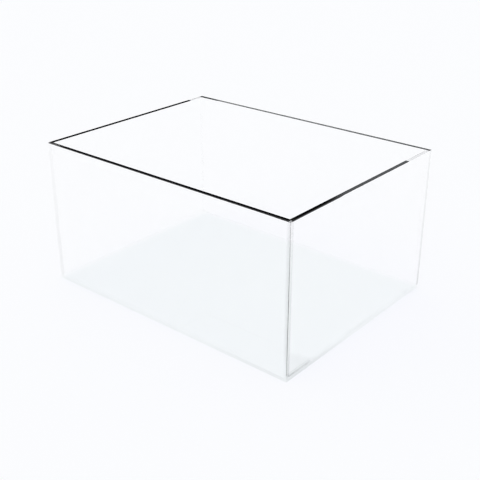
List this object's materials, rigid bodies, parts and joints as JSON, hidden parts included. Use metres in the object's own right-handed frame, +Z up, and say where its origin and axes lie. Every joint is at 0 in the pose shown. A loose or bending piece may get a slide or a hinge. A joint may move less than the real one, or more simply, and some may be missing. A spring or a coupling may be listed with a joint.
{
  "type": "open acrylic box",
  "caption": "Open-topped rectangular display box of clear acrylic sheet, its upright walls cemented to a full-footprint base.",
  "frame": {"origin": "centre of the underside, on the surface that the box stands on", "axes": "+X along the box's length, +Y from the front wall to the back wall, +Z up through the open top"},
  "size_m": [0.4, 0.3, 0.2],
  "materials": {
    "clear_acrylic": "polished"
  },
  "bodies": {
    "root": {"base_panel": "clear_acrylic", "front_wall": "clear_acrylic", "back_wall": "clear_acrylic", "left_wall": "clear_acrylic", "right_wall": "clear_acrylic"}
  },
  "joints": []
}
